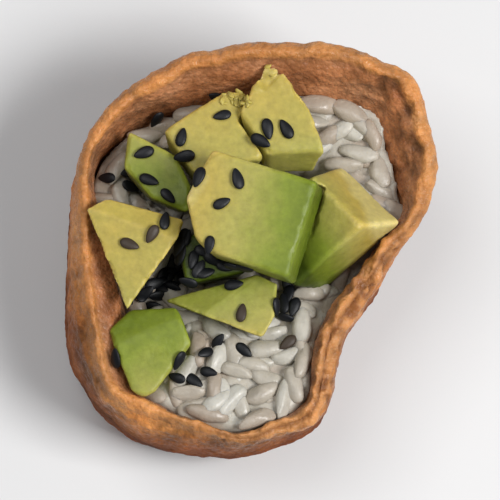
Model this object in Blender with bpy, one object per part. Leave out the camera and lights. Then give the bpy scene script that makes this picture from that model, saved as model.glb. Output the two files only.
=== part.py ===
"""An open tofu pocket of inari sushi: a fried tofu skin that stands with its mouth up,
filled with sushi rice and heaped with cut avocado.

The origin is on the surface that the pocket stands on, under the middle of its box.
+Z is up, +Y is the side where the skin flares out like a lip, and -Y is its narrow end.
Lengths are in millimetres until an object is made, and its mesh is in metres.
"""

import math

import bmesh
import bpy
from mathutils import Vector

MM = 0.001

# The skin.
WALL = 2.2  # the skin's thickness below the rim
FLOOR = 2.8  # its thickness where it lies on the surface
FOOT_INSET = 6.0  # how far the flat foot stays inside the widest line of the wall
FOOT_POWER = 2.4  # 2 rounds the foot as an ellipse, more makes it squarer
BELLY_SHARE = 0.55  # height of the wall's widest line, as a share of the wall's own height
SHOULDER_POWERS = (2.4, 0.7)  # the round line from there back in to the mouth's line
FLARE_POWER = 1.1  # the line from there out to the mouth's line where the skin flares
TUCK_POWERS = (1.5, 1.0)  # where the tucked-in edge is thickest: between floor and rim
PLEATS = 11  # soft pleats round the mouth
PLEAT_DEPTH = 0.25
PLEAT_FADE = 0.3  # the share of that depth left at the foot
PLEAT_DRIFT = (3, 2.0)  # how often round the mouth they crowd, and how much
GAP = 0.3  # kept between neighbours

# The mouth, anticlockwise from the middle of the narrow end. Each station has the rim's
# middle line (x, y), the rim's height and thickness, how far the wall bulges outside the
# mouth's line (negative where it flares out upwards), how far the skin's tucked-in edge
# stands in under the rim, and the rice's level at the wall.
STATIONS = (
    (-3.0, -28.8, 25.5, 1.8, 0.9, 0.0, 24.0),
    (5.8, -27.0, 25.5, 2.6, 0.2, 0.0, 24.0),
    (10.6, -23.3, 26.0, 3.4, 0.4, 0.0, 24.0),
    (12.1, -17.0, 26.5, 4.0, 0.2, 0.0, 23.8),
    (13.8, -11.0, 27.5, 4.0, 0.2, 0.0, 22.5),
    (20.1, -1.9, 28.5, 2.8, 0.6, 0.0, 20.5),
    (25.9, 5.9, 29.5, 2.5, -1.8, 0.0, 23.0),
    (27.4, 13.0, 30.5, 2.8, -6.0, 0.0, 24.5),
    (26.2, 20.4, 31.0, 2.8, -7.0, 0.0, 25.0),
    (21.4, 26.8, 32.0, 2.8, -7.0, 0.0, 25.5),
    (9.5, 30.1, 33.0, 2.8, -7.0, 0.0, 25.5),
    (-4.0, 28.8, 32.5, 2.8, -6.5, 0.0, 24.5),
    (-14.0, 26.0, 31.0, 2.6, -5.5, 0.0, 23.0),
    (-22.4, 18.8, 29.5, 2.0, -2.0, 0.0, 21.5),
    (-25.2, 11.0, 28.5, 1.8, 0.2, 0.6, 19.5),
    (-25.1, -1.6, 27.5, 1.6, 1.6, 2.0, 16.0),
    (-23.0, -13.9, 26.5, 1.6, 3.0, 2.8, 15.5),
    (-20.4, -22.4, 25.5, 1.6, 1.4, 2.4, 18.5),
    (-13.4, -25.1, 25.5, 1.6, 3.0, 0.8, 23.0),
)
STEPS = 4  # points from one station to the next
MIDDLE = (0.0, 2.0)  # the point that the rice's rings close on
RICE_CROWN = 21.0  # the rice's level at the middle
RICE_LUMP = 0.5  # height of its lumps
RICE_WAVES = (0.50, 0.43)  # how the broad lumps follow each other along x and y, in radians
RICE_FINE_WAVES = (-0.7, 0.9)  # and the fine ones, half as high
RICE_SHIFT = 0.8  # where along x the broad lumps start
RICE_RINGS = 9

RIM_GROWTH = 3  # how late the wall thickens towards the rim: more is later

# Height shares of the rows of points up the wall.
WALL_SHARES = (0.0, 0.015, 0.05, 0.11, 0.19, 0.29, 0.41, 0.54, 0.66, 0.77, 0.86, 0.94)
RIM_ANGLES = (20, 55, 90, 125, 160)  # degrees over the round top of the rim

# Avocado dice. face is the outline of a die's upper face seen from above, clockwise. level
# is that face's height at its middle and slope its rise per millimetre along x and y.
# thick is how far down the lower face lies, lean how far it is shifted along x and y, and
# taper its size as a share of the upper face's. A fold is a ridge over the upper face, from
# one point to another, with the face's fall per millimetre on the left of that line.
DICE = {
    "avocado_crown": dict(
        face=((-6.3, 13.2), (9.6, 8.3), (5.2, -6.3), (-6.8, -2.2), (-8.8, -0.3), (-10.3, 6.0)),
        level=36.2, slope=(0.06, 0.07), thick=6.8, lean=(1.7, 0.0), taper=1.0),
    "avocado_right": dict(
        face=((9.2, 10.3), (16.6, 2.0), (6.8, -6.2), (-0.4, 2.6)),
        level=29.2, slope=(0.69, 0.16), thick=7.6, lean=(5.4, 1.8), taper=1.15),
    "avocado_tip": dict(
        face=((2.2, 28.2), (5.4, 26.2), (9.0, 21.2), (11.6, 14.2), (2.6, 13.8), (-1.9, 20.2)),
        level=31.2, slope=(0.0, 0.06), thick=6.5, lean=(0.0, -3.4), taper=0.8),
    "avocado_back": dict(
        face=(
            (-13.4, 17.6), (-8.3, 20.9), (-3.9, 23.8), (-0.4, 23.6),
            (2.2, 13.2), (-8.6, 11.0), (-10.4, 14.4),
        ),
        level=29.3, slope=(0.05, 0.0), thick=7.5, lean=(0.3, -1.2), taper=0.9),
    "avocado_green": dict(
        face=((-18.5, 17.8), (-11.2, 14.0), (-8.8, 9.0), (-9.2, 4.8), (-15.0, 7.2), (-19.2, 12.0)),
        level=27.6, slope=(0.1, 0.0), thick=8.5, lean=(0.0, 0.6), taper=0.85),
    "avocado_wedge": dict(
        face=((-24.9, 5.0), (-22.0, 6.6), (-9.8, 3.2), (-11.2, 0.4), (-18.6, -10.2)),
        level=30.0, slope=(0.1, 0.12), thick=6.5, lean=(1.0, 1.8), taper=0.8,
        fold=((-25.2, 5.4), (-11.3, 0.4), 0.45)),
    "avocado_front": dict(
        face=(
            (-13.4, -8.2), (-3.8, -6.8), (1.2, -4.3), (4.4, -5.8),
            (3.9, -10.9), (2.0, -14.2), (-3.2, -11.4),
        ),
        level=27.3, slope=(0.10, -0.10), thick=6.0, lean=(0.0, 0.8), taper=0.9,
        fold=((-5.6, -9.5), (1.2, -4.5), 0.50)),
    "avocado_low": dict(
        face=(
            (-21.9, -12.8), (-18.4, -9.4), (-10.8, -9.2), (-8.6, -15.1),
            (-12.3, -19.6), (-14.2, -22.4), (-15.9, -23.4), (-17.8, -22.4),
        ),
        level=26.6, slope=(0.0, 0.10), thick=7.0, lean=(0.6, 1.2), taper=0.8,
        fold=((-20.2, -15.6), (-9.6, -11.0), 0.50)),
    "avocado_under": dict(
        face=((-11.0, 2.0), (-1.5, 3.0), (0.0, -3.5), (-9.5, -5.5)),
        level=24.6, slope=(0.0, 0.0), thick=6.0, lean=(0.0, 0.0), taper=0.9),
}
# Dice that give way to a firmer one which rests against them.
PRESSED_DICE = {
    "avocado_right": ("avocado_crown", "avocado_tip"),
    "avocado_back": ("avocado_tip",),
    "avocado_low": ("avocado_front",),
}
DIE_EDGE = 0.6  # roundness of the dice's edges
DIE_EDGE_STEPS = 2
EDGE_ANGLE = 25  # edges that turn by more degrees than this are rounded
FLAT_ANGLE = 1  # faces that turn by fewer degrees than this are one face

# The linear colours of the three materials.
TOFU_COLOUR = (0.42, 0.16, 0.045, 1.0)
RICE_COLOUR = (0.72, 0.70, 0.64, 1.0)
AVOCADO_COLOUR = (0.50, 0.50, 0.12, 1.0)


def clear_scene():
    for thing in list(bpy.data.objects):
        bpy.data.objects.remove(thing, do_unlink=True)


def material(name, colour, roughness):
    made = bpy.data.materials.new(name)
    made.use_nodes = True
    shader = made.node_tree.nodes["Principled BSDF"]
    shader.inputs["Base Color"].default_value = colour
    shader.inputs["Roughness"].default_value = roughness
    shader.inputs["Metallic"].default_value = 0.0
    return made


def catmull_rom(before, start, end, after, t):
    """The smooth curve from start to end, at t from 0 to 1."""
    return 0.5 * (
        2 * start
        + (end - before) * t
        + (2 * before - 5 * start + 4 * end - after) * t**2
        + (3 * start - before - 3 * end + after) * t**3
    )


def around():
    """The stations with STEPS points from each to the next, as one closed smooth curve."""
    count = len(STATIONS)
    made = []
    for index in range(count):
        four = [STATIONS[(index + shift) % count] for shift in (-1, 0, 1, 2)]
        for step in range(STEPS):
            made.append([catmull_rom(*values, step / STEPS) for values in zip(*four)])
    return made


def outward(ring, index):
    """The mouth's outward direction at a point of the ring, level."""
    before, after = ring[index - 1], ring[(index + 1) % len(ring)]
    along = Vector((after[0] - before[0], after[1] - before[1])).normalized()
    return Vector((along.y, -along.x))


def pleat(turn, share):
    """How far the pleats push the wall out, at a share of the way round and of the height."""
    angle = 2 * math.pi * turn
    crowds, drift = PLEAT_DRIFT
    wave = math.sin(PLEATS * angle + drift * math.sin(crowds * angle))
    return PLEAT_DEPTH * wave * (PLEAT_FADE + (1 - PLEAT_FADE) * share)


def wall_offset(belly, share):
    """How far outside the mouth's line the wall runs, at a share of its height."""
    if share >= BELLY_SHARE:
        rise = (share - BELLY_SHARE) / (1 - BELLY_SHARE)
        if belly < 0:
            return belly * (1 - rise**FLARE_POWER)
        return belly * (1 - rise ** SHOULDER_POWERS[0]) ** SHOULDER_POWERS[1]
    drop = (BELLY_SHARE - share) / BELLY_SHARE
    return belly - FOOT_INSET * (1 - (1 - drop**FOOT_POWER) ** (1 / FOOT_POWER))


def tuck_share(rise):
    """How much of the tucked-in edge stands in at a share of the wall's height, up to 1."""
    low, high = TUCK_POWERS
    most = low / (low + high)
    return (rise / most) ** low * ((1 - rise) / (1 - most)) ** high


def wall_ring(ring, share, floor=0.0, tops=None, inside=None):
    """One row of points round the wall, a share of the way from the floor to the tops. It is
    on the outer face, or where inside is given, that far inside the inner face."""
    row = []
    for index, (x, y, crest, rim, belly, tuck, _) in enumerate(ring):
        top = crest if tops is None else tops[index]
        height = floor + (top - floor) * share
        rise = (height - floor) / (crest - floor)
        out = rim / 2 + wall_offset(belly, rise) + pleat(index / len(ring), rise)
        if inside is not None:
            thickness = WALL + (rim - WALL) * rise**RIM_GROWTH
            out = min(out - thickness, -rim / 2) - tuck * tuck_share(rise) - inside
        place = Vector((x, y)) + outward(ring, index) * out
        row.append((place.x, place.y, height))
    return row


def rim_ring(ring, degrees):
    """One row of points over the rim's round top, from its outside at 0 to its inside at 180."""
    angle = math.radians(degrees)
    row = []
    for index, (x, y, top, rim, _, _, _) in enumerate(ring):
        across = rim / 2 * math.cos(angle) + pleat(index / len(ring), 1.0)
        place = Vector((x, y)) + outward(ring, index) * across
        row.append((place.x, place.y, top - rim / 2 * (1 - math.sin(angle))))
    return row


def rim_foot(ring):
    """Heights where the wall ends and the rim's round top begins."""
    return [top - rim / 2 for _, _, top, rim, _, _, _ in ring]


def add_object(name, shape, look):
    """An object from a bmesh in millimetres, with its faces pointing out."""
    bmesh.ops.recalc_face_normals(shape, faces=shape.faces)
    bmesh.ops.scale(shape, vec=(MM, MM, MM), verts=shape.verts)
    mesh = bpy.data.meshes.new(name)
    shape.to_mesh(mesh)
    shape.free()
    mesh.shade_smooth()
    mesh.materials.append(look)
    thing = bpy.data.objects.new(name, mesh)
    bpy.context.scene.collection.objects.link(thing)
    return thing


def loft(rows):
    """One closed shape through rows of points, each row a ring, with flat caps at both ends."""
    shape = bmesh.new()
    rings = [[shape.verts.new(point) for point in row] for row in rows]
    count = len(rings[0])
    for low, high in zip(rings, rings[1:]):
        for index in range(count):
            after = (index + 1) % count
            shape.faces.new((low[index], low[after], high[after], high[index]))
    shape.faces.new(rings[0])
    shape.faces.new(rings[-1])
    return shape


def add_pocket(ring, look):
    """The skin: up the outside, over the rim and down the inside, with a flat foot and floor."""
    ends = rim_foot(ring)
    rows = [wall_ring(ring, share, tops=ends) for share in WALL_SHARES]
    rows += [rim_ring(ring, degrees) for degrees in (0, *RIM_ANGLES, 180)]
    rows += [wall_ring(ring, share, FLOOR, ends, 0.0) for share in reversed(WALL_SHARES)]
    return add_object("tofu_pocket", loft(rows), look)


def rice_level(x, y, share, edge):
    """The rice's height at a share of the way out from its middle."""
    lumps = math.sin(RICE_WAVES[0] * x + RICE_SHIFT) * math.cos(RICE_WAVES[1] * y)
    lumps += math.sin(RICE_FINE_WAVES[0] * x + RICE_FINE_WAVES[1] * y) / 2
    return RICE_CROWN + (edge - RICE_CROWN) * share**2 + RICE_LUMP * lumps


def add_rice(ring, look):
    """The rice: it fills the skin up to its own lumpy top."""
    edges = [rice for *_, rice in ring]
    rows = [wall_ring(ring, share, FLOOR + GAP, edges, GAP) for share in WALL_SHARES]
    rim = wall_ring(ring, 1.0, FLOOR + GAP, edges, GAP)
    for step in range(RICE_RINGS):
        share = 1 - step / RICE_RINGS
        row = []
        for (x, y, _), edge in zip(rim, edges):
            x = MIDDLE[0] + (x - MIDDLE[0]) * share
            y = MIDDLE[1] + (y - MIDDLE[1]) * share
            row.append((x, y, rice_level(x, y, share, edge)))
        rows.append(row)
    return add_object("rice", loft(rows), look)


def fold_down(shape, middle, level, slope, fold):
    """Cuts the upper face along a ridge, so that it falls away on the ridge's left."""
    start, end, fall = fold
    slope = Vector(slope)
    near, far = (Vector((*spot, level + (Vector(spot) - middle).dot(slope))) for spot in (start, end))
    along = far - near
    side = Vector((-along.y, along.x)).normalized()
    left = Vector((*side, side.dot(slope) - fall))
    cut = bmesh.ops.bisect_plane(
        shape,
        geom=[*shape.verts, *shape.edges, *shape.faces],
        plane_co=near,
        plane_no=along.cross(left),
        clear_outer=True,
    )
    rim = [part for part in cut["geom_cut"] if isinstance(part, bmesh.types.BMEdge)]
    bmesh.ops.contextual_create(shape, geom=rim)


def die_shape(face, level, slope, thick, lean, taper, fold=None):
    """A die between its upper face and its lower one."""
    middle = sum((Vector(corner) for corner in face), Vector((0, 0))) / len(face)
    shape = bmesh.new()
    for corner in face:
        arm = Vector(corner) - middle
        for size, shift, drop in ((1.0, Vector((0, 0)), 0.0), (taper, Vector(lean), thick)):
            place = middle + arm * size + shift
            height = level + arm.dot(Vector(slope)) * size - drop
            shape.verts.new((place.x, place.y, height))
    bmesh.ops.convex_hull(shape, input=shape.verts)
    if fold:
        fold_down(shape, middle, level, slope, fold)
    flat = math.radians(FLAT_ANGLE)
    bmesh.ops.dissolve_limit(shape, angle_limit=flat, verts=shape.verts, edges=shape.edges)
    return shape


def swell(shape, distance):
    """Moves every face of a closed shape outwards by the same distance."""
    bmesh.ops.recalc_face_normals(shape, faces=shape.faces)
    shape.normal_update()
    moves = [vert.normal * vert.calc_shell_factor() * distance for vert in shape.verts]
    for vert, move in zip(shape.verts, moves):
        vert.co += move
    return shape


def add_die(name, look, facts):
    """A die with round edges, and the slightly larger shape that it presses into the rice."""
    die = add_object(name, die_shape(**facts), look)
    edge = die.modifiers.new("round edges", "BEVEL")
    edge.width = DIE_EDGE * MM
    edge.segments = DIE_EDGE_STEPS
    edge.limit_method = "ANGLE"
    edge.angle_limit = math.radians(EDGE_ANGLE)
    dent = add_object(name + "_dent", swell(die_shape(**facts), GAP), look)
    dent.hide_render = True
    dent.display_type = "WIRE"
    return dent


def press_into(soft, dent):
    cut = soft.modifiers.new("pressed by " + dent.name, "BOOLEAN")
    cut.operation = "DIFFERENCE"
    cut.solver = "EXACT"
    cut.object = dent


def centre_on_origin(pocket):
    """Hangs every object on an empty that brings the middle of the pocket's box over the origin."""
    corners = [Vector(corner) for corner in pocket.bound_box]
    middle = (corners[0] + corners[6]) / 2
    stand = bpy.data.objects.new("stand", None)
    stand.location = (-middle.x, -middle.y, 0)
    for thing in list(bpy.data.objects):
        if thing.type == "MESH":
            thing.parent = stand
    bpy.context.scene.collection.objects.link(stand)


def main():
    clear_scene()
    tofu = material("tofu_skin", TOFU_COLOUR, 0.55)
    grains = material("rice", RICE_COLOUR, 0.45)
    flesh = material("avocado", AVOCADO_COLOUR, 0.5)
    ring = around()
    pocket = add_pocket(ring, tofu)
    rice = add_rice(ring, grains)
    dents = {name: add_die(name, flesh, facts) for name, facts in DICE.items()}
    for dent in dents.values():
        press_into(rice, dent)
    for name, pressers in PRESSED_DICE.items():
        for presser in pressers:
            press_into(bpy.data.objects[name], dents[presser])
    centre_on_origin(pocket)


main()
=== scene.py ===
"""The looks of an open inari sushi: its tofu skin, rice grains, avocado and sesame seeds.

The frame's origin is under the middle of the pocket, with +Z up and +Y towards its flared side.
Lengths in this script are in millimetres until a mesh is made.
"""

import math
import random

import bmesh
import bpy
import numpy as np
from mathutils import Matrix, Quaternion, Vector, noise
from mathutils.bvhtree import BVHTree


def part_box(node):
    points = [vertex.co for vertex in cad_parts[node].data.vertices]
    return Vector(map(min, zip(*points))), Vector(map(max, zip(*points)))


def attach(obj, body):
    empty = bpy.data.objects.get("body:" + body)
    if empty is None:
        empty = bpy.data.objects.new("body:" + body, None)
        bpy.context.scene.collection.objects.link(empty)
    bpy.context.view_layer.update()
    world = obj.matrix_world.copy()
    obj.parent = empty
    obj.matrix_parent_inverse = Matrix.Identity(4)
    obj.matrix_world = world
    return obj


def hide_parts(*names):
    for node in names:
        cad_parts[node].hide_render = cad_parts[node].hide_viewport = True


MM = 0.001

# The view: the camera looks down past the pocket's narrow end, a little from its left.
SIGHT = Vector((0.07, 0.17, -1.0)).normalized()
RIM_LEVEL = 28.0
AIM = Vector((-0.4, -4.15, RIM_LEVEL))  # from the top die's middle
DISTANCE = 600.0
FRAME_WIDTH = 76.0  # of the picture, at the rim's level
SENSOR = 36.0

# The tofu skin.
SKIN_VOXEL = 0.42
RIM_REACH = 2.2  # how far the rim's looks reach down the wall
ROLL_DROP = 0.8  # how much lower the rim's outer side lies than its inner edge
TORN_ANGLE = -48.0  # where the rim is torn most, in degrees from +X
FRAYED_ANGLE = 80.0  # where the rim's line is most uneven
LOBE_DEPTH = 0.9
GROOVE_WIDTH = 0.45  # of the crease along the torn part of the rim
BUCKLE_ANGLE = 10.0  # where the skin is buckled inside
TUCK_ANGLE = 196.0  # where the tucked-in edge of the skin shows most
TUCK_SPREAD = (0.80, 0.93)  # cosines of how far from there it starts and is full
TUCK_DEPTH = 2.0  # how far it stands in over the rice

# Avocado.
DIE_VOXEL = 0.28
# Each die ripens along a direction: from how green it is at one end to how green at the other,
# 0 being the yellow of the stone's side and 1 the green of the skin's side.
RIPENESS = {
    "avocado_crown": ((1.0, -0.25, -0.1), 0.04, 0.95),
    # The right die runs past both ends: besides its real yellow-to-green, its top face is paler as painted light and
    # its left face darker as painted shade.
    "avocado_right": ((-0.9, -0.45, -0.1), -0.3, 1.4),
    "avocado_tip": ((0.25, -1.0, -0.25), 0.02, 0.48),
    "avocado_back": ((0.1, -1.0, -0.4), 0.14, 0.40),
    "avocado_green": ((0.2, -1.0, 0.0), 0.45, 0.84),
    "avocado_wedge": ((0.3, -1.0, -0.2), 0.12, 0.30),
    "avocado_front": ((-0.3, 1.0, 0.0), 0.32, 0.64),
    "avocado_low": ((-0.35, 1.0, 0.0), 0.50, 0.86),
    # The under die lies deep in the gap: its values from 1 up make it the darkest green all over, as painted shade.
    "avocado_under": ((1.0, 0.0, 0.0), 1.0, 1.3),
}

EDGE_WEAR = 0.45  # how deep the dice's edges are worn at most
RAGGED = ("avocado_tip",)  # dice whose far end is torn
# Crumbs of avocado, in heaps: where a heap's middle shows, as for the seeds below, how far it
# reaches to each side, and how many crumbs it has.
CRUMB_HEAPS = ((-2.6, 19.6, 2.4, 1.3, 24), (3.4, 24.0, 1.6, 1.6, 8))
CRUMB_SIZES = (0.7, 1.7)

# Rice.
GRAIN_LENGTH = 6.0
GRAIN_WIDTH = 2.8
GRAIN_HEIGHT = 2.35
GRAIN_DENT = 0.07  # unevenness, as a share of its size
GRAIN_FACETS = 6  # flat sides, pressed by other grains
FACET_DEPTHS = (0.70, 0.95)  # where they lie, as a share of the grain's reach that way
FACET_FLATNESS = 0.85
GRAIN_PROUD = 0.3  # how far grains stand over the rice solid
GRAIN_OVER = 0.5  # how far a grain's highest spot may rise over that
GRAIN_PRESSES = (0.5, 1.0, 1.6, 2.0)  # how far a grain sinks into those under it, round by round
PILE_CELL = 0.4
PILE_DEPTH = 4.6
PILE_SPREAD = 3
WALL_REACH = 0.9  # how near a grain's axis may come to the skin
STAIN_REACH = (1.2, 4.0)  # from the skin, where its broth stains the rice, and where it's clear
SIDES = 8
SIDE_REACH = 14.0
HOLLOW = 4.0  # how much deeper the rice lies where dice stand all round
PILE_CHOICE = 10
PILE_PATIENCE = 200
CORE_VOXEL = 0.7
CORE_DEPTH = 0.7
CORE_SHARE = 0.995
CORE_BULGE = 0.5  # how far its sides press on the skin, apart from the thin wall at the back

# Black sesame seeds: where each one shows at the rim's level, from the top die's middle, and
# how its length turns in degrees.
SEED_LENGTH = 3.1
SEED_WIDTH = 1.9
SEED_HEIGHT = 0.95
SEED_CLIMB = 1.4  # a bump that is higher is something beside the seed
SEEDS = (
    # on the back dice
    (-14.9, 16.6, 80), (-5.5, 19.6, -30), (-4.7, 16.6, 15), (-10.9, 13.1, 75),
    (-10.4, 10.2, 10), (2.3, 14.6, -80), (5.1, 14.6, -60), (1.3, 12.8, -25),
    # on the green die and between it and the wall
    (-16.6, 10.6, 20), (-19.6, 7.2, 10), (-22.1, 6.7, 0), (-18.9, 5.3, -15), (-15.8, 6.4, -20),
    (-12.9, 4.0, -45), (-13.4, 0.0, 80),
    # on the top die
    (-8.2, 6.9, 70), (-2.3, 6.8, -75), (-4.7, 3.0, 25), (-6.6, -3.5, 80),
    # on the wedge and beside it
    (-20.0, -11.6, -30), (-15.2, -12.1, 10), (-10.1, -2.5, 70),
    # in the gap under the top die
    (-13.2, -8.8, 30), (-11.8, -6.7, 60), (-9.8, -9.1, -20), (-9.1, -5.8, 75), (-7.2, -7.8, 15),
    (-6.1, -5.7, -30), (-4.2, -6.8, -15), (-1.4, -6.7, 5), (-12.0, -4.9, 60), (-10.7, -5.2, 45),
    (-14.1, -10.0, 20), (-12.3, -9.6, -10), (-10.9, -8.3, 40), (-12.4, -7.5, 50), (-2.8, -6.3, -20),
    (-8.2, -7.2, 60), (-7.4, -4.4, -10), (-16.2, -10.7, 45), (-15.0, -9.5, 20), (-14.1, -8.3, 60),
    (-12.9, -7.7, 10), (-12.5, -6.3, 75), (-11.8, -5.0, 35), (-11.1, -3.8, 60), (-10.4, -2.4, 80),
    (-13.9, -10.2, -30), (-12.4, -10.0, 15), (-16.9, -11.6, 60), (-14.9, -11.0, -5),
    # on the front die and beside it
    (-2.8, -9.7, 5), (3.4, -12.8, -70), (5.5, -11.4, 80), (5.3, -13.9, -10), (5.1, -9.4, -60),
    (6.3, -12.9, 70), (4.7, -12.4, -85),
    # on the rice
    (-5.1, -18.1, 50), (-7.5, -20.1, 20), (-1.3, -19.6, -40),
    (-6.5, -22.9, -10), (-11.3, -21.1, 80), (-11.4, -23.9, -20), (-8.9, -24.6, -35),
    (-20.3, -20.8, 60),
)
BROWN_SEEDS = (
    (-18.7, -3.5, -20), (-15.3, -1.9, 60), (-1.7, -13.9, 80), (5.2, -18.4, 40),
)

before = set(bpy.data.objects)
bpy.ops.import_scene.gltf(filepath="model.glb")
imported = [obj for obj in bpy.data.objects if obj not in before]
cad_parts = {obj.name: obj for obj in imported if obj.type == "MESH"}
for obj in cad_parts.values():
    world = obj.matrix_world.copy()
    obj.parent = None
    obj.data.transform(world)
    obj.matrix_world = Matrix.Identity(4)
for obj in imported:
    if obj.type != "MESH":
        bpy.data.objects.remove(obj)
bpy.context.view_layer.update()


def box_middle(node):
    low, high = (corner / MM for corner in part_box(node))
    return (low + high) / 2


HEART = Vector((*box_middle("avocado_crown").xy, 0.0))


# ---------------------------------------------------------------- meshes


def add_object(name, mesh):
    mesh.shade_smooth()
    thing = bpy.data.objects.new(name, mesh)
    bpy.context.scene.collection.objects.link(thing)
    return thing


def points_of(mesh):
    """The mesh's points in millimetres, one row each."""
    flat = np.empty(len(mesh.vertices) * 3)
    mesh.vertices.foreach_get("co", flat)
    return flat.reshape(-1, 3) / MM


def normals_of(mesh):
    flat = np.empty(len(mesh.vertices) * 3)
    mesh.vertex_normals.foreach_get("vector", flat)
    return flat.reshape(-1, 3)


def move_points(mesh, points):
    mesh.vertices.foreach_set("co", (points * MM).ravel())
    mesh.update()


def add_values(mesh, name, values):
    """Stores a number for each point, which a material reads by its name."""
    layer = mesh.attributes.new(name, "FLOAT", "POINT")
    layer.data.foreach_set("value", np.asarray(values, dtype=np.float32))


def remeshed(source, voxel, smoothing):
    """The shape as an even mesh of small squares, with its edges eased."""
    draft = bpy.data.objects.new("draft", source)
    bpy.context.scene.collection.objects.link(draft)
    remesh = draft.modifiers.new("remesh", "REMESH")
    remesh.mode = "VOXEL"
    remesh.voxel_size = voxel * MM
    smooth = draft.modifiers.new("smooth", "SMOOTH")
    smooth.factor = 0.5
    smooth.iterations = smoothing
    graph = bpy.context.evaluated_depsgraph_get()
    mesh = bpy.data.meshes.new_from_object(draft.evaluated_get(graph))
    bpy.data.objects.remove(draft)
    bpy.data.meshes.remove(source)
    mesh.materials.clear()
    return mesh


def even_mesh(node, voxel, smoothing):
    return remeshed(cad_mesh(node).copy(), voxel, smoothing)


def mesh_from_arrays(name, points, faces):
    mesh = bpy.data.meshes.new(name)
    mesh.from_pydata((points * MM).tolist(), [], faces)
    mesh.update()
    return mesh


def fractal(points, size, octaves=3, seed=0):
    """Smooth noise at each point, from about -1 to 1, with lumps of the given size."""
    shift = Vector((seed * 17.3, seed * 5.9, seed * 11.7))
    return np.array(
        [noise.fractal(Vector(point) / size + shift, 1.0, 2.0, octaves) for point in points]
    )


def cells(points, size, seed=0):
    """Distances to the nearest and second nearest of scattered middles, in units of size."""
    shift = Vector((seed * 7.1, seed * 13.3, seed * 3.7))
    found = [noise.voronoi(Vector(point) / size + shift)[0][:2] for point in points]
    return np.array(found)


def ridges(mesh):
    """How far each point stands out from its neighbours, along its normal, in millimetres."""
    points = points_of(mesh)
    ends = np.empty(len(mesh.edges) * 2, dtype=np.int32)
    mesh.edges.foreach_get("vertices", ends)
    first, second = ends.reshape(-1, 2).T
    total, count = np.zeros_like(points), np.zeros(len(points))
    for here, there in ((first, second), (second, first)):
        np.add.at(total, here, points[there])
        np.add.at(count, here, 1)
    return ((points - total / count[:, None]) * normals_of(mesh)).sum(axis=1)


def smoothstep(low, high, values):
    share = np.clip((values - low) / (high - low), 0.0, 1.0)
    return share * share * (3 - 2 * share)


def tree_of(meshes):
    """A search tree of the faces of these meshes, in millimetres."""
    points, faces = [], []
    for mesh in meshes:
        start = len(points)
        points += [vertex.co / MM for vertex in mesh.vertices]
        faces += [[start + index for index in face.vertices] for face in mesh.polygons]
    return BVHTree.FromPolygons(points, faces)


def cad_mesh(node):
    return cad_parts[node].data


# ---------------------------------------------------------------- material nodes


class Look:
    """A node material in the making."""

    def __init__(self, name):
        self.material = bpy.data.materials.new(name)
        self.material.use_nodes = True
        self.tree = self.material.node_tree
        self.shader = self.tree.nodes["Principled BSDF"]
        place = self.add("ShaderNodeTexCoord").outputs["Object"]
        scale = self.add("ShaderNodeVectorMath", operation="SCALE")
        scale.inputs["Scale"].default_value = 1 / MM
        self.join(place, scale.inputs[0])
        self.place = scale.outputs[0]  # in millimetres

    def add(self, kind, **settings):
        node = self.tree.nodes.new(kind)
        for name, value in settings.items():
            setattr(node, name, value)
        return node

    def join(self, source, target):
        self.tree.links.new(source, target)

    def feed(self, socket, value):
        if isinstance(value, bpy.types.NodeSocket):
            self.join(value, socket)
        else:
            socket.default_value = value

    def values(self, name):
        return self.add("ShaderNodeAttribute", attribute_name=name).outputs["Fac"]

    def noise(self, size, detail=3.0, roughness=0.55, stretch=(1, 1, 1)):
        node = self.add("ShaderNodeTexNoise")
        mapping = self.add("ShaderNodeMapping")
        mapping.inputs["Scale"].default_value = [share / size for share in stretch]
        self.join(self.place, mapping.inputs["Vector"])
        self.join(mapping.outputs[0], node.inputs["Vector"])
        node.inputs["Scale"].default_value = 1.0
        node.inputs["Detail"].default_value = detail
        node.inputs["Roughness"].default_value = roughness
        return node.outputs["Fac"]

    def cells(self, size, feature="F1"):
        node = self.add("ShaderNodeTexVoronoi", feature=feature)
        self.join(self.place, node.inputs["Vector"])
        node.inputs["Scale"].default_value = 1 / size
        return node.outputs["Distance"]

    def ramp(self, factor, *stops):
        """Colours or numbers along a factor: each stop is (place, value)."""
        node = self.add("ShaderNodeValToRGB")
        self.join(factor, node.inputs["Fac"])
        elements = node.color_ramp.elements
        while len(elements) < len(stops):
            elements.new(0.5)
        for element, (place, value) in zip(elements, stops):
            element.position = place
            shade = value if isinstance(value, tuple) else (value, value, value)
            element.color = (*shade, 1.0)
        return node.outputs["Color"]

    def mix(self, factor, first, second, blend="MIX"):
        node = self.add("ShaderNodeMix", data_type="RGBA", blend_type=blend)
        self.feed(node.inputs["Factor"], factor)
        for socket, value in ((node.inputs["A"], first), (node.inputs["B"], second)):
            self.feed(self.colour_socket(node, socket.name), value)
        return [out for out in node.outputs if out.type == "RGBA"][0]

    @staticmethod
    def colour_socket(node, name):
        return [socket for socket in node.inputs if socket.name == name and socket.type == "RGBA"][0]

    def math(self, operation, first, second=0.0):
        node = self.add("ShaderNodeMath", operation=operation)
        self.feed(node.inputs[0], first)
        self.feed(node.inputs[1], second)
        return node.outputs[0]

    def bump(self, height, depth, base=None):
        """Relief of the given depth in millimetres."""
        node = self.add("ShaderNodeBump")
        node.inputs["Strength"].default_value = 1.0
        node.inputs["Distance"].default_value = depth * MM
        self.join(height, node.inputs["Height"])
        if base is not None:
            self.join(base, node.inputs["Normal"])
        return node.outputs["Normal"]

    def finish(self, colour, roughness, normal, **settings):
        self.feed(self.shader.inputs["Base Color"], colour)
        self.feed(self.shader.inputs["Roughness"], roughness)
        self.join(normal, self.shader.inputs["Normal"])
        for name, value in settings.items():
            self.shader.inputs[name].default_value = value
        return self.material


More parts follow.
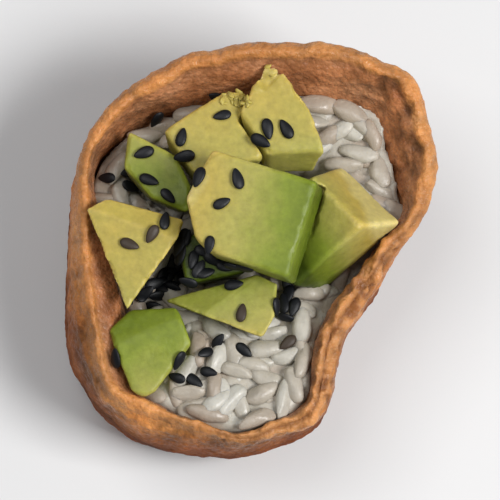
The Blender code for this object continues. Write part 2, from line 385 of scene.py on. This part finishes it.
def tofu_look():
    look = Look("tofu_skin")
    patches = look.noise(8.0, detail=4.0)
    mottle = look.noise(1.0, detail=4.0, roughness=0.7)
    colour = look.ramp(
        patches,
        (0.30, (0.370, 0.120, 0.028)),
        (0.50, (0.560, 0.215, 0.057)),
        (0.68, (0.700, 0.310, 0.098)),
    )
    tone = look.ramp(mottle, (0.32, 0.76), (0.52, 1.0), (0.70, 1.16))
    colour = look.mix(1.0, colour, tone, blend="MULTIPLY")
    # Lighter on the skin's bumps and darker in its creases: painted light and painted shade.
    relief_light_and_shade = look.ramp(look.values("height"), (0.10, 0.42), (0.50, 0.98), (0.85, 1.35))
    colour = look.mix(1.0, colour, relief_light_and_shade, blend="MULTIPLY")
    # The rim turns a brighter orange: partly the cut skin's own colour, partly painted light on the crest.
    colour = look.mix(look.values("cut"), colour, (0.66, 0.305, 0.110, 1.0))
    # Darker and redder towards the foot of the outer wall: painted shade.
    low_wall_shade = look.ramp(look.values("low"), (0.0, (1.0, 1.0, 1.0)), (0.45, (0.70, 0.56, 0.44)), (1.0, (0.38, 0.25, 0.18)))
    colour = look.mix(1.0, colour, low_wall_shade, blend="MULTIPLY")
    inner = look.mix(1.0, colour, (0.74, 0.78, 1.20, 1.0), blend="MULTIPLY")
    colour = look.mix(look.values("inside"), colour, inner)
    # Darker in the pits, in the groove along the torn rim and in patches over the torn rim: painted shade.
    pit_and_rim_shade = look.ramp(look.values("pit"), (0.0, (1.0, 1.0, 1.0)), (1.0, (0.30, 0.20, 0.14)))
    colour = look.mix(1.0, colour, pit_and_rim_shade, blend="MULTIPLY")
    roughness = look.ramp(look.noise(0.7, detail=3.0), (0.38, 0.18), (0.62, 0.52))
    roughness = look.math("ADD", roughness, look.math("MULTIPLY", look.values("low"), 0.6))
    pores = look.bump(look.noise(0.38, detail=3.0), 0.16)
    blisters = look.bump(look.cells(0.75), -0.16, pores)
    return look.finish(
        colour, roughness, blisters,
        **{"Subsurface Weight": 0.12, "Subsurface Scale": 0.8 * MM,
           "Subsurface Radius": (1.0, 0.4, 0.2), "Specular IOR Level": 0.28},
    )


def rice_look():
    look = Look("rice")
    own = look.values("own")
    colour = look.ramp(
        own,
        (0.0, (0.430, 0.355, 0.280)),
        (0.3, (0.505, 0.460, 0.385)),
        (0.6, (0.555, 0.525, 0.455)),
        (1.0, (0.640, 0.620, 0.555)),
    )
    cloudy = look.ramp(look.noise(1.6), (0.3, 0.86), (0.65, 1.0))
    colour = look.mix(1.0, colour, cloudy, blend="MULTIPLY")
    roughness = look.ramp(look.noise(1.2), (0.35, 0.26), (0.65, 0.50))
    normal = look.bump(look.noise(0.6, detail=2.0), 0.10)
    return look.finish(
        colour, roughness, normal,
        **{"Subsurface Weight": 0.5, "Subsurface Scale": 0.35 * MM,
           "Subsurface Radius": (1.0, 0.92, 0.78), "Specular IOR Level": 0.5},
    )


def avocado_look():
    look = Look("avocado")
    wander = look.math("MULTIPLY", look.math("SUBTRACT", look.noise(5.0), 0.5), 0.28)
    ripe = look.math("ADD", look.values("ripe"), wander)
    colour = look.ramp(
        ripe,
        # The stop at 0 is paler: painted light, which the right die's top face takes from its values below 0.
        (0.00, (0.640, 0.540, 0.190)),
        (0.10, (0.520, 0.400, 0.086)),
        (0.40, (0.425, 0.390, 0.092)),
        (0.68, (0.235, 0.290, 0.030)),
        (0.88, (0.150, 0.205, 0.014)),
        (1.00, (0.060, 0.090, 0.006)),
    )
    mottle = look.ramp(look.noise(1.4, detail=4.0, roughness=0.65), (0.3, 0.86), (0.7, 1.08))
    colour = look.mix(1.0, colour, mottle, blend="MULTIPLY")
    fibres = look.ramp(look.noise(0.9, detail=2.0, stretch=(1, 1, 0.15)), (0.3, 0.93), (0.7, 1.05))
    colour = look.mix(1.0, colour, fibres, blend="MULTIPLY")
    # Lighter along convex edges and folds: painted highlight.
    edge_highlight = look.mix(1.0, colour, (1.50, 1.42, 1.70, 1.0), blend="MULTIPLY")
    colour = look.mix(look.math("MULTIPLY", look.values("edge"), 0.7), colour, edge_highlight)
    roughness = look.ramp(look.noise(3.0), (0.3, 0.36), (0.7, 0.52))
    normal = look.bump(look.noise(0.5, detail=3.0), 0.05)
    return look.finish(
        colour, roughness, normal,
        **{"Subsurface Weight": 0.30, "Subsurface Scale": 1.2 * MM,
           "Subsurface Radius": (0.9, 1.0, 0.25), "Specular IOR Level": 0.3},
    )


def seed_look():
    look = Look("black_sesame")
    colour = look.ramp(
        look.values("own"), (0.0, (0.004, 0.005, 0.007)), (0.8, (0.009, 0.010, 0.013)),
        (1.0, (0.050, 0.035, 0.024)),
    )
    normal = look.bump(look.noise(0.18, detail=2.0), 0.03)
    return look.finish(colour, 0.45, normal, **{"Specular IOR Level": 0.3})


def floor_look():
    look = Look("floor")
    colour = look.ramp(look.noise(60.0), (0.3, 0.76), (0.7, 0.78))
    return look.finish(colour, 0.7, look.bump(look.noise(0.6), 0.01))


# ---------------------------------------------------------------- the tofu skin


def crest_line(points, bins=180):
    """The rim all the way round the origin: rows of angle, inner radius, outer radius and height."""
    turn = np.arctan2(points[:, 1], points[:, 0])
    slot = ((turn + math.pi) / (2 * math.pi) * bins).astype(int) % bins
    crest = []
    for part in range(bins):
        near = points[slot == part]
        top = near[near[:, 2] > near[:, 2].max() - 0.5]
        reach = np.hypot(top[:, 0], top[:, 1])
        angle = (part + 0.5) * 2 * math.pi / bins - math.pi
        crest.append((angle, reach.min(), reach.max(), top[:, 2].max()))
    crest = np.array(crest)
    for _ in range(3):
        crest[:, 1:] = (np.roll(crest, 1, 0) + 2 * crest + np.roll(crest, -1, 0))[:, 1:] / 4
    return crest


def add_skin(look):
    """The pocket: a leathery wall that rolls over to a thin, torn inner edge."""
    mesh = even_mesh("tofu_pocket", SKIN_VOXEL, 1)
    points = points_of(mesh)
    normals = normals_of(mesh)
    crest = crest_line(points)
    turn = np.arctan2(points[:, 1], points[:, 0])
    inner, outer, height = (np.interp(turn, crest[:, 0], row, period=2 * math.pi) for row in crest[:, 1:].T)
    radius = np.hypot(points[:, 0], points[:, 1])
    below = height - points[:, 2]
    radial = points[:, :2] / radius[:, None]
    inside = smoothstep(0.1, 0.5, -(normals[:, :2] * radial).sum(axis=1))
    tucked = inside * smoothstep(*TUCK_SPREAD, np.cos(turn - math.radians(TUCK_ANGLE)))
    near_rim = 1 - smoothstep(0.2, RIM_REACH, below)
    torn = smoothstep(0.35, 0.95, np.cos(turn - math.radians(TORN_ANGLE)))

    upright = np.stack([turn * 24.0, points[:, 2] * 0.30, radius * 0.3], axis=1)
    creases = fractal(upright, 3.4, 3, seed=6)
    wrinkles = 1 - np.abs(fractal(points * (1, 1, 1.4), 3.2, 2, seed=12)) * 2.2
    blisters = cells(points, 1.9, seed=2)
    specks = fractal(points, 1.1, 2, seed=3)
    holes = cells(points, 1.9, seed=4)[:, 0]
    spots = smoothstep(-0.2, 0.15, fractal(points, 4.5, 2, seed=13))
    pit = (1 - smoothstep(0.14, 0.40, holes)) * near_rim * torn * spots * (radius > inner + 1.0)
    middle = inner + (outer - inner) * (0.55 + 0.35 * fractal(points, 6.0, 2, seed=18))
    groove = np.exp(-(((radius - middle) / GROOVE_WIDTH) ** 2)) * near_rim * torn
    buckled = inside * smoothstep(0.35, 0.9, np.cos(turn - math.radians(BUCKLE_ANGLE)))
    relief = 0.30 * fractal(points, 9.0, 2) + 0.12 * fractal(points, 3.0, 3, seed=1)
    relief += 0.22 * creases + 0.10 * np.maximum(wrinkles, 0.0)
    relief += 0.16 * (blisters[:, 1] - blisters[:, 0] - 0.3) + 0.10 * specks
    relief += near_rim * torn * 0.75 * fractal(points, 2.2, 2, seed=8) - 0.9 * pit - 0.7 * groove
    relief += buckled * 0.5 * fractal(points, 2.6, 2, seed=14)
    points = points + normals * relief[:, None]
    tucked *= smoothstep(0.5, 4.0, below) * (1 - smoothstep(11.0, 15.0, below))
    points[:, :2] -= TUCK_DEPTH * tucked[:, None] * radial
    lobes = fractal(np.stack([turn * 26.0, 0 * turn, 0 * turn], axis=1), 7.0, 3, seed=16)
    frayed = smoothstep(0.3, 0.9, np.cos(turn - math.radians(FRAYED_ANGLE)))
    points[:, :2] += (LOBE_DEPTH * frayed * (1 - smoothstep(0.0, 7.0, below)) * lobes)[:, None] * radial
    rolled = smoothstep(inner + 0.2, outer + 1.0, radius)
    points[:, 2] -= ROLL_DROP * rolled * (1 - smoothstep(0.0, 6.0, below))
    flat = points * (1, 1, 0.2)
    ragged = fractal(flat, 4.0, 3, seed=5) + 0.5 * fractal(flat, 1.5, 2, seed=9)
    points[:, 2] += near_rim * 0.40 * (0.8 + 1.2 * torn) * (ragged - 0.3)
    points[:, 2] = np.maximum(points[:, 2], 0.0)
    move_points(mesh, points)
    # How much the rim takes that brighter orange: partly the cut skin's own colour, partly painted light on the crest.
    add_values(mesh, "cut", near_rim * (0.45 + 0.55 * torn) * (0.7 + 0.3 * specks))
    # Patches along the torn rim. These, the pits and the groove all darken the colour as painted shade.
    torn_rim_shade = near_rim * torn * smoothstep(0.0, 0.35, fractal(points, 3.0, 3, seed=17))
    add_values(mesh, "pit", np.maximum(pit, np.maximum(0.75 * torn_rim_shade, 0.65 * groove)))
    add_values(mesh, "inside", inside * smoothstep(0.3, 1.5, below))
    # How far down the outer wall a point lies: it darkens the colour there as painted shade, and roughens it.
    add_values(mesh, "low", smoothstep(0.0, 13.0, below) * (1 - inside))
    # The relief's height, which the skin's colour turns into painted light on bumps and painted shade in creases.
    add_values(mesh, "height", np.clip(0.5 + 1.1 * (relief - relief.mean()), 0.0, 1.0))

    print("skin faces:", len(mesh.polygons))
    skin = add_object("tofu_skin", mesh)
    skin.data.materials.append(look)
    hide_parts("tofu_pocket")
    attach(skin, "root")
    return skin


# ---------------------------------------------------------------- avocado


def add_die(node, look):
    """One avocado die: smooth cut faces, and edges softened by handling."""
    seed = list(RIPENESS).index(node)
    mesh = even_mesh(node, DIE_VOXEL, 1)
    points = points_of(mesh)
    normals = normals_of(mesh)
    relief = 0.10 * fractal(points, 6.0, 2, seed=seed + 10) + 0.035 * fractal(points, 1.1, 2, seed=seed + 30)
    edge = smoothstep(0.004, 0.035, ridges(mesh))
    relief -= EDGE_WEAR * edge * np.maximum(fractal(points, 2.4, 2, seed=seed + 50) + 0.1, 0.0)
    if node in RAGGED:
        end = smoothstep(0.62, 0.95, (points[:, 1] - points[:, 1].min()) / np.ptp(points[:, 1]))
        notches = cells(points, 2.9, seed=5)
        notch = 1 - smoothstep(0.0, 0.3, notches[:, 1] - notches[:, 0])
        relief += end * (0.8 * fractal(points, 3.4, 2, seed=15) + 0.15 * fractal(points, 0.9, 2) + 0.35 - 0.7 * notch)
    move_points(mesh, points + normals * relief[:, None])
    # The edge value also lightens the colour along the edges, as a painted highlight.
    add_values(mesh, "edge", edge)
    direction, least, most = RIPENESS[node]
    along = points @ np.array(direction)
    along = (along - along.min()) / (along.max() - along.min())
    add_values(mesh, "ripe", least + (most - least) * along)
    die = add_object(node + "_flesh", mesh)
    die.data.materials.append(look)
    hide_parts(node)
    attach(die, "root")
    return die


# ---------------------------------------------------------------- rice


def bead_shape(around, along):
    """A unit ball stretched along X: its points and its faces."""
    rings = []
    for step in range(1, along):
        tilt = math.pi * step / along
        for part in range(around):
            angle = 2 * math.pi * part / around
            rings.append(
                (-math.cos(tilt), math.sin(tilt) * math.cos(angle), math.sin(tilt) * math.sin(angle))
            )
    points = np.array([(-1.0, 0.0, 0.0), *rings, (1.0, 0.0, 0.0)])
    faces = []
    for part in range(around):
        after = (part + 1) % around
        faces.append((0, 1 + after, 1 + part))
        for ring in range(along - 2):
            low = 1 + ring * around
            faces.append((low + part, low + after, low + around + after, low + around + part))
        low = 1 + (along - 2) * around
        faces.append((low + part, low + after, len(points) - 1))
    return points, faces


def grain_points(unit, rng):
    """A cooked grain, in its own axes: blunt ends, a shallow bend, and soft dents."""
    x, y, z = unit.T
    round_body = np.sqrt(np.clip(1 - x**2, 0, 1))
    blunt_body = np.clip(1 - np.abs(x) ** 2.6, 0, 1) ** 0.46
    body = np.divide(blunt_body, round_body, out=np.ones_like(x), where=round_body > 0.01)
    body = body * (1 + rng.uniform(-0.16, 0.16) * x)
    bend = rng.uniform(-0.08, 0.08) * GRAIN_LENGTH
    size = rng.uniform(0.84, 1.12)
    wide = rng.uniform(0.90, 1.14)
    flat = rng.uniform(0.86, 1.08)
    made = np.stack(
        [
            x * GRAIN_LENGTH / 2 * size,
            y * body * GRAIN_WIDTH / 2 * wide + bend * (x**2 - 0.4),
            z * body * GRAIN_HEIGHT / 2 * flat,
        ],
        axis=1,
    )
    for _ in range(GRAIN_FACETS):
        tilt = rng.uniform(0, 2 * math.pi)
        facet = np.array((rng.uniform(-0.5, 0.5), math.cos(tilt), math.sin(tilt)))
        facet /= np.linalg.norm(facet)
        reach = made @ facet
        limit = rng.uniform(*FACET_DEPTHS) * reach.max()
        made -= np.maximum(reach - limit, 0.0)[:, None] * facet * FACET_FLATNESS
    dents = fractal(made + rng.uniform(0, 500), 2.0, 2)
    return made * (1 + GRAIN_DENT * dents)[:, None]


def spread(heights, rounds):
    """Each cell takes the highest value of its neighbours, so that grains reach the walls."""
    for _ in range(rounds):
        for axis in (0, 1):
            heights = np.maximum(heights, np.maximum(np.roll(heights, 1, axis), np.roll(heights, -1, axis)))
    return heights


def walled_in(dice, place):
    """How far dice hide a place from the light that comes from the sides, from 0 to 1."""
    hits = 0
    for step in range(SIDES):
        angle = 2 * math.pi * step / SIDES
        side = Vector((math.cos(angle), math.sin(angle), 0.7)).normalized()
        if dice.ray_cast(place, side, SIDE_REACH)[0] is not None:
            hits += 1
    return smoothstep(0.6, 0.95, hits / SIDES)


class Pile:
    """A heap of grains that grows on the rice's core up to the rice's top, like a height map."""

    BEADS = (-0.36, -0.18, 0.0, 0.18, 0.36)  # where a grain's body is tested, as shares of its length

    def __init__(self, rng, skin):
        self.rng = rng
        self.wall = tree_of([skin.data])
        self.low, self.high = (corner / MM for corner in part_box("rice"))
        columns = int((self.high.x - self.low.x) / PILE_CELL) + 1
        rows = int((self.high.y - self.low.y) / PILE_CELL) + 1
        self.ceiling = np.full((columns, rows), -100.0)
        self.hollow = np.zeros((columns, rows))
        rice = tree_of([cad_mesh("rice")])
        dice = tree_of([cad_mesh(node) for node in RIPENESS])
        for column in range(columns):
            for row in range(rows):
                x, y = self.low.x + column * PILE_CELL, self.low.y + row * PILE_CELL
                hit, _, _, _ = rice.ray_cast(Vector((x, y, self.high.z + 20)), Vector((0, 0, -1)))
                if hit is None:
                    continue
                level = hit.z + GRAIN_PROUD
                if self.wall.ray_cast(Vector((x, y, level - WALL_REACH)), Vector((0, 0, 1)))[0] is not None:
                    continue
                die, _, _, _ = dice.ray_cast(Vector((x, y, 2.0)), Vector((0, 0, 1)))
                self.hollow[column, row] = HOLLOW * walled_in(dice, Vector((x, y, level)))
                level -= self.hollow[column, row]
                if die is not None:
                    level = min(level, die.z)
                self.ceiling[column, row] = level
        self.floor = np.maximum(self.ceiling - PILE_DEPTH, -100.0)
        self.ceiling = spread(self.ceiling, PILE_SPREAD)
        self.floor = spread(self.floor, PILE_SPREAD)
        reach = int(GRAIN_WIDTH / 2 / PILE_CELL) + 1
        offsets = np.array([(a, b) for a in range(-reach, reach + 1) for b in range(-reach, reach + 1)])
        far = np.hypot(*(offsets.T * PILE_CELL))
        self.offsets = offsets[far < GRAIN_WIDTH / 2]
        self.domes = np.sqrt((GRAIN_WIDTH / 2) ** 2 - far[far < GRAIN_WIDTH / 2] ** 2)
        self.domes *= GRAIN_HEIGHT / GRAIN_WIDTH

    def cells_under(self, x, y, yaw, pitch):
        """The cells that a grain covers, and its body's height over its middle and half height there."""
        spots, lifts, domes = [], [], []
        for share in self.BEADS:
            out = share * GRAIN_LENGTH
            across = out * math.cos(pitch)
            column = (x + across * math.cos(yaw) - self.low.x) / PILE_CELL
            row = (y + across * math.sin(yaw) - self.low.y) / PILE_CELL
            spots.append(self.offsets + (round(column), round(row)))
            lifts.append(np.full(len(self.domes), out * math.sin(pitch)))
            domes.append(self.domes * (0.9 if abs(share) > 0.3 else 1.0))
        spots = np.concatenate(spots)
        spots[:, 0] = np.clip(spots[:, 0], 0, self.floor.shape[0] - 1)
        spots[:, 1] = np.clip(spots[:, 1], 0, self.floor.shape[1] - 1)
        return spots.T, np.concatenate(lifts), np.concatenate(domes)

    def rest(self, x, y, yaw, press):
        """How a grain comes to lie at a place: its height and pitch, or nothing if it doesn't fit."""
        (columns, rows), _, domes = self.cells_under(x, y, yaw, 0.0)
        if self.floor[columns, rows].min() < 0:
            return None
        count = len(self.domes)
        support = self.floor[columns, rows] + domes
        pitch = math.atan2(support[-count:].max() - support[:count].max(), 0.72 * GRAIN_LENGTH)
        pitch = min(max(pitch, -0.7), 0.7) * 0.8 + self.rng.uniform(-0.12, 0.12)
        (columns, rows), lifts, domes = self.cells_under(x, y, yaw, pitch)
        height = (self.floor[columns, rows] + domes - lifts).max() - press
        over = height + lifts + domes - self.ceiling[columns, rows]
        if over.max() > GRAIN_OVER:
            return None
        for share in self.BEADS[::2]:
            out = share * GRAIN_LENGTH
            across = out * math.cos(pitch)
            bead = Vector((x + across * math.cos(yaw), y + across * math.sin(yaw), height + out * math.sin(pitch)))
            if self.wall.find_nearest(bead, WALL_REACH)[0] is not None:
                return None
        return height, pitch

    def drop(self, x, y, yaw, height, pitch):
        (columns, rows), lifts, domes = self.cells_under(x, y, yaw, pitch)
        np.maximum.at(self.floor, (columns, rows), height + lifts + domes)

    def grow(self, press):
        """Drops grains, each into the lowest of a few places, until none fits any more."""
        placed = []
        misses = 0
        while misses < PILE_PATIENCE:
            found = []
            for _ in range(PILE_CHOICE):
                x = self.rng.uniform(self.low.x, self.high.x)
                y = self.rng.uniform(self.low.y, self.high.y)
                yaw = self.rng.uniform(0, math.pi)
                lie = self.rest(x, y, yaw, press)
                if lie is not None:
                    found.append((lie[0], x, y, yaw, lie[1]))
            if not found:
                misses += 1
                continue
            height, x, y, yaw, pitch = min(found)
            self.drop(x, y, yaw, height, pitch)
            along = Vector((math.cos(yaw) * math.cos(pitch), math.sin(yaw) * math.cos(pitch), math.sin(pitch)))
            side = Vector((-math.sin(yaw), math.cos(yaw), 0.0))
            turn = Matrix((along, side, along.cross(side))).transposed().to_quaternion()
            turn = turn @ Quaternion((1, 0, 0), self.rng.uniform(-0.5, 0.5))
            placed.append((Vector((x, y, height)), turn))
        return placed


def joined_mesh(name, made):
    """One mesh of many small pieces: each is its points, its faces and its own shade."""
    points, faces, own = [], [], []
    count = 0
    for piece, piece_faces, shade in made:
        points.append(piece)
        faces += [tuple(index + count for index in face) for face in piece_faces]
        own.append(np.full(len(piece), shade))
        count += len(piece)
    mesh = mesh_from_arrays(name, np.vstack(points), faces)
    add_values(mesh, "own", np.concatenate(own))
    return mesh


def turned(points, turn, middle):
    return points @ np.array(turn.to_matrix()).T + np.array(middle)


def add_core(look, pile):
    """The rice solid made smaller, as the bed of the grains."""
    mesh = even_mesh("rice", CORE_VOXEL, 2)
    points = points_of(mesh)
    middle = points.mean(axis=0)
    points[:, :2] = middle[:2] + (points[:, :2] - middle[:2]) * CORE_SHARE
    normals = normals_of(mesh)
    lumps = smoothstep(0.3, 0.7, normals[:, 2]) * fractal(points, 2.6, 2, seed=21)
    side = smoothstep(0.6, 0.1, normals[:, 2]) * smoothstep(0.3, -0.2, normals[:, 1]) * smoothstep(12.0, 17.0, points[:, 2])
    points[:, :2] += CORE_BULGE * side[:, None] * normals[:, :2]
    points[:, 2] += 0.5 * lumps
    column = np.clip((points[:, 0] - pile.low.x) / PILE_CELL, 0, pile.hollow.shape[0] - 1).astype(int)
    row = np.clip((points[:, 1] - pile.low.y) / PILE_CELL, 0, pile.hollow.shape[1] - 1).astype(int)
    points[:, 2] -= (CORE_DEPTH + pile.hollow[column, row]) * smoothstep(4.0, 14.0, points[:, 2])
    move_points(mesh, points)
    # Its tone varies at random but is a little darker on the whole than the grains: painted shade in the gaps between
    # them.
    add_values(mesh, "own", 0.35 + 0.5 * fractal(points, 3.0, 2, seed=20))
    core = add_object("rice_core", mesh)
    core.data.materials.append(look)
    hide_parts("rice")
    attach(core, "root")
    return core


def add_rice(look, skin):
    """Sticky rice: a bed, and grains that sink into each other on it."""
    rng = random.Random(7)
    unit, faces = bead_shape(18, 12)
    pile = Pile(rng, skin)
    made = []
    for press in GRAIN_PRESSES:
        for middle, turn in pile.grow(press):
            grain = turned(grain_points(unit, rng), turn, middle)
            clear = smoothstep(*STAIN_REACH, pile.wall.find_nearest(middle)[3])
            made.append((grain, faces, rng.random() * (0.2 + 0.8 * clear)))
    print("grains:", len(made), len(made) * len(faces) * 2)
    grains = add_object("rice_grains", joined_mesh("rice_grains", made))
    grains.data.materials.append(look)
    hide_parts("rice")
    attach(grains, "root")
    return grains, add_core(look, pile)


# ---------------------------------------------------------------- sesame


def seed_points(unit, rng):
    """A sesame seed, in its own axes: flat, round at one end and pointed at the other."""
    x, y, z = unit.T
    size = rng.uniform(0.9, 1.1)
    width = np.sqrt(np.clip(1 - x**2, 0.0, 1.0))
    drop = (1 - 0.42 * (x + 1) / 2) * np.where(width > 0, width**0.05, 1)
    return np.stack(
        [
            x * SEED_LENGTH / 2 * size,
            y * drop * SEED_WIDTH / 2 * size * 1.12,
            z * drop * SEED_HEIGHT / 2 * size,
        ],
        axis=1,
    )


def landing(surface, x, y):
    """Where a thing lies that shows at a place of the rim's level, and the surface's normal."""
    eye = camera_place()
    towards = (HEART + Vector((x, y, RIM_LEVEL)) - eye).normalized()
    hit, normal, _, _ = surface.ray_cast(eye, towards)
    return hit, normal


def seed_lift(surface, x, y, yaw, place, level):
    """How far a seed has to rise to lie on the bumps under its ends."""
    lift = 0.0
    for share in (-0.5, -0.25, 0.25, 0.5):
        out = share * SEED_LENGTH
        near, _ = landing(surface, x + out * math.cos(yaw), y + out * math.sin(yaw))
        bump = (near - place).dot(level)
        if bump < SEED_CLIMB:
            lift = max(lift, bump)
    return lift


def add_seeds(look, under):
    """The seeds, each laid on what shows at its place along the camera's view."""
    rng = random.Random(11)
    surface = tree_of([piece.data for piece in under])
    unit, faces = bead_shape(16, 12)
    made = []
    shades = [rng.uniform(0.0, 0.7) for _ in SEEDS] + [1.0 for _ in BROWN_SEEDS]
    for (x, y, yaw), shade in zip(SEEDS + BROWN_SEEDS, shades):
        place, normal = landing(surface, x, y)
        level = normal.lerp(Vector((0, 0, 1)), 0.35).normalized()
        along = Vector((math.cos(math.radians(yaw)), math.sin(math.radians(yaw)), 0))
        along = (along - level * along.dot(level)).normalized()
        if rng.random() < 0.5:
            along = -along
        side = level.cross(along)
        turn = Matrix((along, side, level)).transposed().to_quaternion()
        turn = turn @ Quaternion((1, 0, 0), rng.uniform(-0.25, 0.25))
        lift = 0.8 * seed_lift(surface, x, y, math.radians(yaw), place, level)
        middle = place + level * (SEED_HEIGHT * 0.36 + lift)
        made.append((turned(seed_points(unit, rng), turn, middle), faces, shade))
    seeds = add_object("sesame_seeds", joined_mesh("sesame_seeds", made))
    seeds.data.materials.append(look)
    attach(seeds, "root")
    return seeds


def add_crumbs(look, dice):
    """Crumbs of avocado that broke off the torn die."""
    rng = random.Random(5)
    surface = tree_of([die.data for die in dice])
    unit, faces = bead_shape(12, 8)
    made = []
    for x, y, across, deep, count in CRUMB_HEAPS:
        for _ in range(count):
            place, normal = landing(surface, x + rng.uniform(-1, 1) * across, y + rng.uniform(-1, 1) * deep)
            size = rng.uniform(*CRUMB_SIZES)
            axis = Vector((rng.uniform(-1, 1), rng.uniform(-1, 1), rng.uniform(-1, 1))).normalized()
            dents = fractal(unit + rng.uniform(0, 500), 1.0, 2)
            crumb = unit * (1 + 0.35 * dents)[:, None] * (size / 2, size / 3.4, size / 6)
            if place is not None:
                turn = Quaternion(normal.lerp(axis, 0.3).normalized(), rng.uniform(0, 2 * math.pi))
                made.append((turned(crumb, turn, place + normal * size * 0.06), faces, 0.0))
    mesh = joined_mesh("avocado_crumbs", made)
    add_values(mesh, "ripe", np.full(len(mesh.vertices), 0.22))
    # The crumbs take part of that painted edge highlight all over.
    add_values(mesh, "edge", np.full(len(mesh.vertices), 0.35))
    crumbs = add_object("avocado_crumbs", mesh)
    crumbs.data.materials.append(look)
    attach(crumbs, "root")
    return crumbs


# ---------------------------------------------------------------- the studio


def camera_place():
    return HEART + AIM - SIGHT * DISTANCE


def add_camera():
    data = bpy.data.cameras.new("camera")
    data.sensor_width = SENSOR
    data.lens = SENSOR * DISTANCE / FRAME_WIDTH
    data.clip_start = 0.01
    camera = bpy.data.objects.new("camera", data)
    right = SIGHT.cross(Vector((0, 1, 0))).normalized()
    up = right.cross(SIGHT)
    turn = Matrix((right, up, -SIGHT)).transposed().to_4x4()
    camera.matrix_world = Matrix.Translation(camera_place() * MM) @ turn
    bpy.context.scene.collection.objects.link(camera)
    bpy.context.scene.camera = camera


def add_light(name, place, size, power):
    data = bpy.data.lights.new(name, "AREA")
    data.size = size
    data.energy = power
    lamp = bpy.data.objects.new(name, data)
    lamp.location = place
    lamp.rotation_euler = (Vector((0, 0, 0.02)) - lamp.location).to_track_quat("-Z", "Y").to_euler()
    bpy.context.scene.collection.objects.link(lamp)


def add_studio():
    world = bpy.data.worlds.new("studio")
    world.use_nodes = True
    world.node_tree.nodes["Background"].inputs["Color"].default_value = (0.93, 0.95, 1.0, 1.0)
    world.node_tree.nodes["Background"].inputs["Strength"].default_value = 0.14
    bpy.context.scene.world = world
    add_light("key", Vector((0.36, -0.12, 0.56)), 0.26, 3.9)
    add_light("fill", Vector((-0.26, 0.16, 0.66)), 0.44, 1.9)
    bpy.context.scene.view_settings.view_transform = "Standard"
    mesh = bpy.data.meshes.new("floor")
    half = 1.5
    mesh.from_pydata([(-half, -half, 0), (half, -half, 0), (half, half, 0), (-half, half, 0)], [], [(0, 1, 2, 3)])
    floor = bpy.data.objects.new("floor", mesh)
    floor.data.materials.append(floor_look())
    bpy.context.scene.collection.objects.link(floor)


def main():
    skin = add_skin(tofu_look())
    flesh = avocado_look()
    dice = [add_die(node, flesh) for node in RIPENESS]
    grains, core = add_rice(rice_look(), skin)
    add_crumbs(flesh, dice)
    add_seeds(seed_look(), [skin, grains, core, *dice])
    add_camera()
    add_studio()


main()
